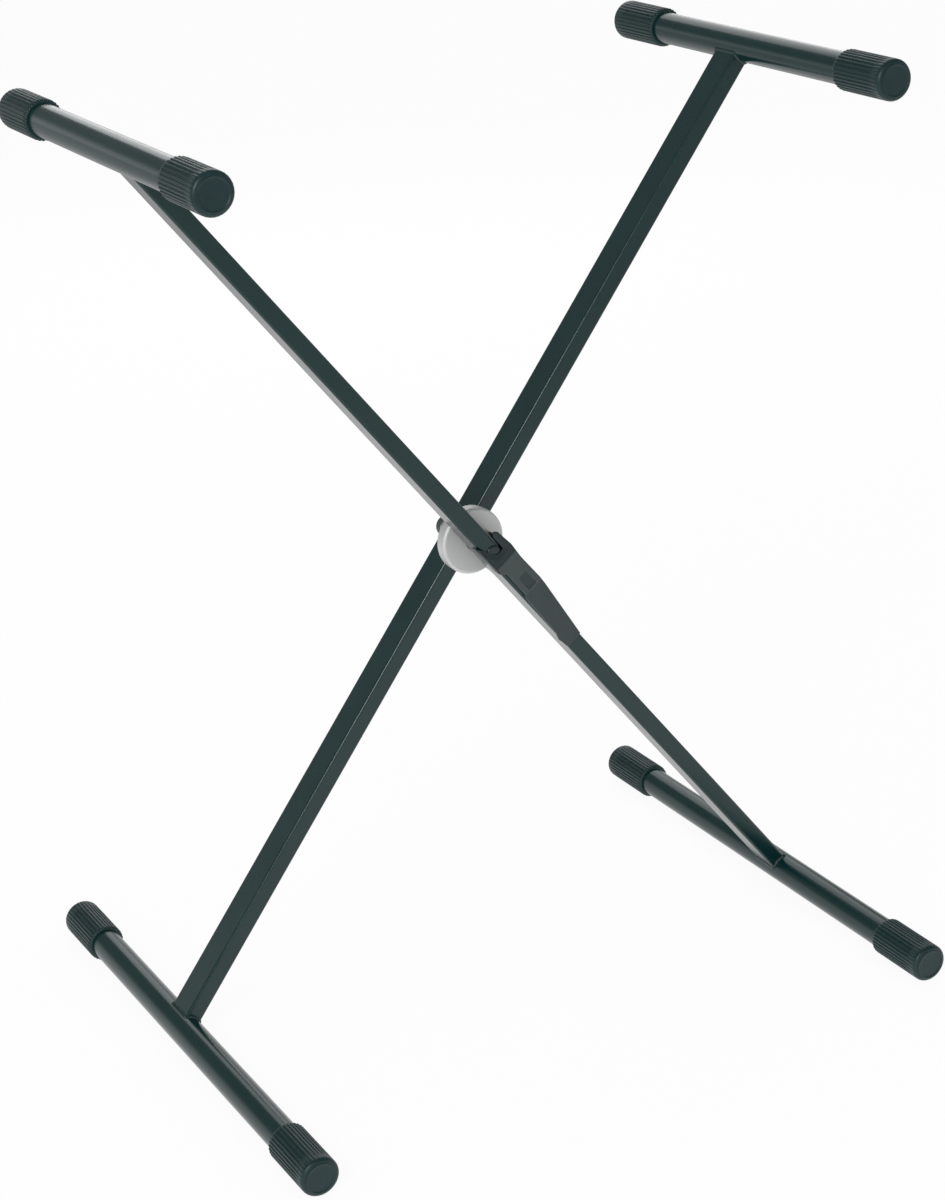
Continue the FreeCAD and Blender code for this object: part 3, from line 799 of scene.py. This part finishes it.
@dataclass
class ClampLever:
    """The moulded release lever, in the front leg's frame."""

    finishes: Finishes
    face: float = -42.3
    back: float = -38.3
    head_back: float = -39.9
    head_end: float = 24.0
    rear_face: float = -7.4
    rear_back: float = -4.4
    edge_round: float = 0.9
    corner_round: float = 1.6
    pitch: float = 0.6
    jaw_round: float = 3.0
    jaw: Point = (22.4, -9.6)  # its end down the leg and its lowest edge
    throat_drop: float = 1.1
    throat_run: float = 5.0
    top: tuple[Point, ...] = (
        (-17.0, 11.6), (-13.6, 14.8), (5.4, 16.6), (22.0, 15.2), (51.7, 15.7), (60.0, 15.3), (126.8, 8.4))
    under: tuple[Point, ...] = (
        (127.0, -8.4), (120.0, -9.0), (114.0, -10.0), (107.0, -8.0), (57.0, -6.4), (53.0, -4.8),
        (22.4, -4.8), (22.4, -6.6), (18.0, -9.6), (-15.5, -9.6))
    throat: tuple[Point, ...] = (
        (-15.5, -8.8), (-10.0, -5.2), (-2.0, -2.8), (3.2, 1.0), (2.6, 8.6), (-13.0, 8.6))
    block: tuple[float, float] = (13.0, 52.5)
    head_step: float = 0.6
    handle_step: float = 0.5
    end_face: float = -40.3
    crown: float = 0.25
    crown_middle: float = 4.5
    crown_half_width: float = 9.5
    head_fall: float = 0.3
    head_fall_between: Point = (-8.0, 17.0)  # up the leg
    # Painted light on the lever: how pale the handle and the walls are painted, and how much painted shade
    # darkens the pocket.
    handle_painted_light: float = 0.62
    pocket_shade: float = 0.6
    pocket_wall: float = 0.5
    insets: tuple[float, ...] = (0.12, 0.3, 0.55, 0.9)
    wall_corner: float = 0.8
    wall_bevel: float = 0.25
    wall_painted_light: float = 0.3
    pocket: tuple[float, float, float, float] = (34.65, 52.15, 0.6, 10.2)
    pocket_depth: tuple[float, float] = (0.35, 1.2)
    web_ends: tuple[float, float] = (4.0, 88.0)
    web: float = 2.5
    rear_start: float = 14.0
    rear_under: tuple[Point, ...] = ((88.0, 8.4), (62.0, -5.0), (14.0, -5.0))
    flange: tuple[float, float, float, float] = (-15.5, 18.0, -9.6, -8.4)
    flange_faces: tuple[float, float] = (-41.7, -31.0)

    def in_pocket(self, s: float, n: float) -> float:
        """Return 1 in the pocket, 0 outside it and a steep wall between."""
        s0, s1, n0, n1 = self.pocket
        wall = self.pocket_wall
        inside = ramp(s, s0, s0 + wall) * (1 - ramp(s, s1 - wall, s1))
        return inside * ramp(n, n0, n0 + wall) * (1 - ramp(n, n1 - wall, n1))

    def front(self, s: float, n: float) -> float:
        """Return the front surface's Y at a place on the lever."""
        start, end = self.block
        tip = self.under[0][0]
        crown = self.crown * ((n - self.crown_middle) / self.crown_half_width) ** 2
        head = self.face + self.head_step + self.head_fall * ramp(-s, *self.head_fall_between)
        block = self.face + crown
        handle = self.face + self.handle_step
        handle += (self.end_face - handle) * max(0.0, s - end) / (tip - end) + crown
        level = head + (block - head) * ramp(s, start - 0.4, start + 0.4)
        level += (handle - level) * ramp(s, end - 0.2, end + 0.5)
        s0, s1 = self.pocket[:2]
        shallow, deep = self.pocket_depth
        depth = shallow + (deep - shallow) * min(1.0, max(0.0, (s - s0) / (s1 - s0)))
        return level + depth * self.in_pocket(s, n)

    def tone(self, s: float, n: float) -> float:
        """Return the painted light at a place on the lever: pale on the block, darker at the head, between
        on the handle, with painted shade in the pocket.
        """
        start, end = self.block
        level = ramp(s, start - 0.4, start + 0.4)
        level += (self.handle_painted_light - level) * ramp(s, end + 0.5, end + 2.0)
        return level * (1 - self.pocket_shade * self.in_pocket(s, n))

    def outline(self) -> list[Point]:
        """Return the front wall's outline with its corners rounded."""
        return densified(rounded(self.top + self.under + self.throat, self.corner_round), self.pitch)

    def edge_drop(self, s: float, n: float, away: float) -> float:
        """Return how far the front surface falls back near the edges.

        Args:
            s: Place down the leg.
            n: Place square to the leg.
            away: Distance from the nearest edge.

        Returns:
            The fall, in millimetres.
        """
        drop = quarter_round(away, self.edge_round)
        if s < self.jaw[0]:
            drop = max(drop, min(self.throat_drop, quarter_round(n - self.jaw[1], self.jaw_round)))
        gap = min(segment_distance((s, n), a, b) for a, b in zip(self.throat, self.throat[1:]))
        return max(drop, self.throat_drop * (1 - ramp(gap, 0.0, self.throat_run)))

    def front_wall(self, work: bmesh.types.BMesh) -> None:
        """Add the front wall, with its relief on a fine net of triangles."""
        edge = self.outline()
        ring = np.array(edge)
        nxt = np.roll(ring, -1, axis=0)
        tangent = (np.roll(ring, -1, axis=0) - np.roll(ring, 1, axis=0))
        normal = np.stack([-tangent[:, 1], tangent[:, 0]], axis=1)
        normal /= np.linalg.norm(normal, axis=1)[:, None]
        area = 0.5 * np.sum(ring[:, 0] * nxt[:, 1] - nxt[:, 0] * ring[:, 1])
        inward = normal if area > 0 else -normal
        low, high = ring.min(axis=0), ring.max(axis=0)
        mesh = np.stack(np.meshgrid(
            np.arange(low[0], high[0], self.pitch), np.arange(low[1], high[1], self.pitch)), -1)
        inner = [(ring + inward * inset, inset * 0.85) for inset in self.insets]
        inner.append((mesh.reshape(-1, 2), self.edge_round + 0.3))
        points = [tuple(point) for point in edge]
        for spots, least in inner:
            distance = self.edge_distance(spots, ring, nxt)
            points += [tuple(spot) for spot, away in zip(spots.tolist(), distance) if away > least]
        loop = [(k, (k + 1) % len(edge)) for k in range(len(edge))]
        net = delaunay_2d_cdt([Vector(point) for point in points], loop, [], 1, 1e-6)
        spots, faces, origin = net[0], net[2], net[3]
        away = self.edge_distance(np.array([tuple(spot) for spot in spots]), ring, nxt)
        front, rim = [], {}
        layer = work.verts.layers.float[PAINTED_LIGHT]
        for k, spot in enumerate(spots):
            y = self.front(spot.x, spot.y) + self.edge_drop(spot.x, spot.y, away[k])
            vertex = work.verts.new(Vector((spot.x, y, spot.y)) * MM)
            # painted light and painted shade, set by the place on the lever
            vertex[layer] = self.tone(spot.x, spot.y)
            front.append(vertex)
            for source in origin[k]:
                if source < len(edge):
                    rim[source] = vertex
        for face in faces:
            work.faces.new([front[k] for k in face])
        rear = []
        for k in range(len(edge)):
            s, n = edge[k]
            y = self.head_back if s < self.head_end else self.back
            vertex = work.verts.new(Vector((s, y, n)) * MM)
            vertex[layer] = self.tone(s, n)
            rear.append(vertex)
        for first, second in loop:
            work.faces.new((rim[first], rim[second], rear[second], rear[first]))
        plain = delaunay_2d_cdt([Vector(point) for point in edge], loop, [], 1, 1e-6)
        for face in plain[2]:
            corners = [rear[min(plain[3][k])] for k in face]
            if len(set(corners)) == 3:
                work.faces.new(corners)

    @staticmethod
    def edge_distance(spots: np.ndarray, ring: np.ndarray, nxt: np.ndarray) -> np.ndarray:
        """Return how far inside the outline each spot lies; outside counts as negative.

        Args:
            spots: Places on the lever.
            ring: The outline's points.
            nxt: The outline's points, one further on.

        Returns:
            One distance for each spot.
        """
        step = nxt - ring
        best = np.full(len(spots), 1e9)
        crossings = np.zeros(len(spots), dtype=int)
        for start, run, end in zip(ring, step, nxt):
            offset = spots - start
            share = np.clip(offset @ run / (run @ run), 0, 1)
            best = np.minimum(best, np.linalg.norm(offset - share[:, None] * run, axis=1))
            spans = (start[1] > spots[:, 1]) != (end[1] > spots[:, 1])
            with np.errstate(divide="ignore", invalid="ignore"):
                at = start[0] + (spots[:, 1] - start[1]) / (end[1] - start[1]) * run[0]
            crossings += spans & (spots[:, 0] < at)
        return np.where(crossings % 2 == 1, best, -best)

    def prism(self, work: bmesh.types.BMesh, outline: Sequence[Point], y0: float, y1: float) -> None:
        """Add a flat wall between two Y planes, its edges slightly rounded."""
        layer = work.verts.layers.float[PAINTED_LIGHT]
        corners = rounded(outline, self.wall_corner, 2)
        ends = [[work.verts.new(Vector((s, y, n)) * MM) for s, n in corners] for y in (y0, y1)]
        # painted light: the walls get one dim level
        for vertex in ends[0] + ends[1]:
            vertex[layer] = self.wall_painted_light
        caps = [work.faces.new(end) for end in ends]
        for k in range(len(corners)):
            j = (k + 1) % len(corners)
            work.faces.new((ends[0][k], ends[0][j], ends[1][j], ends[1][k]))
        sharp = [edge for cap in caps for edge in cap.edges]
        bmesh.ops.bevel(
            work, geom=sharp, offset=self.wall_bevel * MM, segments=2, profile=0.5, affect="EDGES")

    def strip(self, start: float, end: float) -> list[Point]:
        """Return the stretch of the top edge between two places."""
        def height(s: float) -> float:
            """Return the top edge's height at a place."""
            for (s0, n0), (s1, n1) in zip(self.top, self.top[1:]):
                if s0 <= s <= s1:
                    return n0 + (n1 - n0) * (s - s0) / (s1 - s0)
            return self.top[-1][1]
        inside = [point for point in self.top if start < point[0] < end]
        return [(start, height(start)), *inside, (end, height(end))]

    def build(self, frame: Matrix) -> None:
        """Build the lever in place of the frame's."""
        work = bmesh.new()
        work.verts.layers.float.new(PAINTED_LIGHT)
        self.front_wall(work)
        edge = self.strip(*self.web_ends)
        web = edge + [(s, n - self.web) for s, n in reversed(edge)]
        self.prism(work, web, self.back - 1.0, self.rear_back)
        rear = self.strip(self.rear_start, self.web_ends[1]) + list(self.rear_under)
        self.prism(work, rear, self.rear_face, self.rear_back)
        s0, s1, n0, n1 = self.flange
        self.prism(work, [(s0, n0), (s1, n0), (s1, n1), (s0, n1)], *self.flange_faces)
        bmesh.ops.recalc_face_normals(work, faces=work.faces)
        mesh = bpy.data.meshes.new("lever_moulding")
        work.to_mesh(mesh)
        work.free()
        mesh.transform(frame)
        smooth_by_angle(mesh, 35.0)
        piece = new_piece("lever_moulding", mesh)
        self.finishes.dress(piece, "black_plastic")
        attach(piece, "lever")
        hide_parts("clamp_lever")
        LOG.info("lever %s: %d faces", piece.name, len(mesh.polygons))


@dataclass
class ReturnSpring:
    """The coil that pushes the lever back, in the front leg's frame."""

    finishes: Finishes
    down_leg: float = 18.0
    foot: float = -6.5
    head: float = 11.3
    radius: float = 3.4
    wire: float = 0.9
    turns: float = 8.5
    left_when_pulled: float = 0.79

    def tree(self) -> GeometryTree:
        """Return the group that winds the wire."""
        tree = GeometryTree("spring_coil")
        tree.take("Turns", "NodeSocketFloat", self.turns)
        tree.take("Coil Radius", "NodeSocketFloat", (self.radius - self.wire / 2) * MM)
        tree.take("Wire Radius", "NodeSocketFloat", self.wire / 2 * MM)
        tree.take("Height", "NodeSocketFloat", (self.head - self.foot - self.wire) * MM)
        start = tree.begin()
        around = tree.out(start, "Coil Radius")
        coil = tree.add("GeometryNodeCurveSpiral", None, {
            "Resolution": 28, "Rotations": tree.out(start, "Turns"), "Start Radius": around,
            "End Radius": around, "Height": tree.out(start, "Height")})
        wire = tree.add("GeometryNodeCurvePrimitiveCircle", None, {
            "Resolution": 12, "Radius": tree.out(start, "Wire Radius")})
        tube = tree.add("GeometryNodeCurveToMesh", None, {
            "Curve": tree.out(coil), "Profile Curve": tree.out(wire), "Fill Caps": True})
        tree.end(tree.out(tube), self.finishes.by_slot["steel"])
        return tree

    def build(self, frame: Matrix, leg_y: float) -> None:
        """Wind the spring in place of the frame's."""
        piece = new_piece("return_spring_coil", bpy.data.meshes.new("spring_start"))
        mesh = self.tree().run(piece)
        local_foot = frame.to_3x3() @ Vector((self.down_leg * MM, 0, self.foot * MM))
        place = Matrix.Translation(Vector((0, leg_y * MM, 0)) + frame.translation + local_foot)
        mesh.transform(place @ frame.to_3x3().to_4x4() @ Matrix.Translation((0, 0, self.wire / 2 * MM)))
        smooth_by_angle(mesh, 60.0)
        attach(piece, "front_frame")
        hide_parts("lever_spring")
        axis = frame.to_3x3() @ Vector((0, 0, 1))
        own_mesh(piece)
        LOG.info("spring %s: %d faces", piece.name, len(mesh.polygons))


# ---------------------------------------------------------------- studio and camera


@dataclass
class Studio:
    """A plain pale floor, a pale surround that dims overhead, and soft lamps."""

    floor_size: float = 40.0
    floor_drop: float = 0.0004
    floor_colour: Colour = (0.95, 0.95, 0.95)
    white_share: float = 0.93
    # far_gloss and gloss_fades_between paint a pool of light on the floor: its glow in reflections is full
    # near the middle and fades further out.
    far_gloss: float = 0.55
    gloss_fades_between: Point = (0.8, 2.3)
    surround: float = 0.62
    horizon: float = 0.85
    overhead: float = 0.26
    dims_between: Point = (0.06, 0.27)
    key_place: tuple[float, float, float] = (-2.6, -2.24, 2.27)
    key_power: float = 60.0
    key_size: float = 1.3
    box_place: tuple[float, float, float] = (1.2, 2.56, 1.9)
    box_power: float = 20.0
    box_size: float = 2.2
    aim: tuple[float, float, float] = (0.0, 0.0, 0.4)

    @staticmethod
    def rays(tree: NodeTree) -> tuple[Socket, Socket]:
        """Return 1 on camera rays, and 1 on rays that a gloss or a glass follows."""
        path = tree.add("ShaderNodeLightPath")
        gloss = tree.out(path, "Is Glossy Ray") | tree.out(path, "Is Transmission Ray")
        return tree.out(path, "Is Camera Ray"), gloss

    @staticmethod
    def fade(tree: NodeTree, value: Socket, between: Point, levels: Point) -> Socket:
        """Return a smooth change from one level to another."""
        inputs = {"Value": value, "From Min": between[0], "From Max": between[1],
                  "To Min": levels[0], "To Max": levels[1]}
        return tree.out(tree.add("ShaderNodeMapRange", {"interpolation_type": "SMOOTHSTEP"}, inputs))

    def floor(self) -> None:
        """Lay the floor, white to the eye but keeping the stand's shadow, with a painted pool of light near
        its middle that reflections show.
        """
        bpy.ops.mesh.primitive_plane_add(size=self.floor_size, location=(0, 0, -self.floor_drop))
        plane = bpy.context.object
        plane.name = "studio_floor"
        material = bpy.data.materials.new("studio_floor_white")
        material.use_nodes = True
        material.node_tree.nodes.clear()
        tree = NodeTree(material.node_tree)
        camera, gloss = self.rays(tree)
        place = tree.out(tree.add("ShaderNodeTexCoord"), "Object")
        away = tree.out(tree.add("ShaderNodeVectorMath", {"operation": "LENGTH"}, {0: place}), "Value")
        # painted pool of light: the glow seen in gloss fades with distance from the floor's middle
        glow = camera + gloss * self.fade(tree, away, self.gloss_fades_between, (1.0, self.far_gloss))
        matt = tree.add("ShaderNodeBsdfDiffuse", None, {"Color": (*self.floor_colour, 1.0)})
        white = tree.add("ShaderNodeEmission", None, {"Color": (1, 1, 1, 1), "Strength": glow})
        mixed = tree.add("ShaderNodeMixShader", None, {
            0: (camera | gloss) * self.white_share, 1: tree.out(matt), 2: tree.out(white)})
        tree.add("ShaderNodeOutputMaterial", None, {"Surface": tree.out(mixed)})
        plane.data.materials.append(material)
        plane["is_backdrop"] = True

    def world(self) -> None:
        """Set the surround: white to the eye, paler low than overhead in gloss, and softer as light."""
        world = bpy.data.worlds.new("studio_surround")
        bpy.context.scene.world = world
        world.use_nodes = True
        world.node_tree.nodes.clear()
        tree = NodeTree(world.node_tree)
        camera, gloss = self.rays(tree)
        toward = tree.out(tree.add("ShaderNodeTexCoord"), "Object")
        height = tree.out(tree.add("ShaderNodeSeparateXYZ", None, {0: toward}), "Z")
        dimming = self.fade(tree, height, self.dims_between, (self.horizon, self.overhead))
        strength = camera * (1.0 - self.surround) + gloss * (dimming - self.surround)
        back = tree.add("ShaderNodeBackground", None, {
            "Color": (1, 1, 1, 1), "Strength": strength + self.surround})
        tree.add("ShaderNodeOutputWorld", None, {"Surface": tree.out(back)})

    def lamp(self, name: str, place: tuple[float, float, float], power: float, size: float) -> None:
        """Hang a square soft lamp that faces the stand."""
        data = bpy.data.lights.new(name, "AREA")
        data.energy = power
        data.size = size
        lamp = bpy.data.objects.new(name, data)
        bpy.context.scene.collection.objects.link(lamp)
        lamp.location = place
        lamp.rotation_euler = (Vector(self.aim) - Vector(place)).to_track_quat("-Z", "Y").to_euler()
        lamp.visible_camera = False

    def build(self) -> None:
        """Set up the whole studio."""
        self.floor()
        self.world()
        self.lamp("key_lamp", self.key_place, self.key_power, self.key_size)
        self.lamp("back_box", self.box_place, self.box_power, self.box_size)
        LOG.info("studio ready")


@dataclass
class PhotoCamera:
    """The camera at the photograph's place and angle."""

    offset: tuple[float, float, float] = (-1.03044, -1.92251, 0.81717)  # from the pivot
    turn: tuple[float, float, float] = (68.1501, 2.7008, -29.2121)
    lens: float = 79.39
    sensor: float = 36.0

    def build(self, pivot: Vector) -> None:
        """Make the camera and set it as the scene's."""
        data = bpy.data.cameras.new("photo_camera")
        data.lens = self.lens
        data.sensor_width = self.sensor
        data.clip_end = 100.0
        camera = bpy.data.objects.new("photo_camera", data)
        bpy.context.scene.collection.objects.link(camera)
        camera.location = pivot + Vector(self.offset)
        camera.rotation_euler = [math.radians(angle) for angle in self.turn]
        bpy.context.scene.camera = camera


def main() -> list[list[float]]:
    """Build the stand's looks around the frame.

    Returns:
        The frame's own box, as its lowest and highest corners.
    """
    logging.basicConfig(level=logging.INFO, format="%(name)s: %(message)s")
    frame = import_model()
    cad_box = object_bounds()
    fold = next(joint for joint in frame["joints"] if joint["name"] == "fold")
    pivot = Vector(fold["pos_m"])
    PhotoCamera().build(pivot)
    finishes = Finishes()
    slots = {row["node"]: row["material_slot"] for row in frame["record"]["subparts"]}
    for name, node in frame["nodes"].items():
        finishes.dress(node, slots[name])
    frames = {leg: LegFrame(leg, pivot).matrix() for leg in Leg}
    RibbedCap(finishes).place(frames)
    WeldBeads(finishes).place(frames, pivot)
    ClampLever(finishes).build(frames[Leg.FRONT])
    ReturnSpring(finishes).build(frames[Leg.FRONT], centre_of("front_leg_tube").y / MM)
    Studio().build()
    bpy.context.scene.view_settings.view_transform = "Standard"
    return cad_box


if __name__ == "__main__":
    CAD_BOX = main()
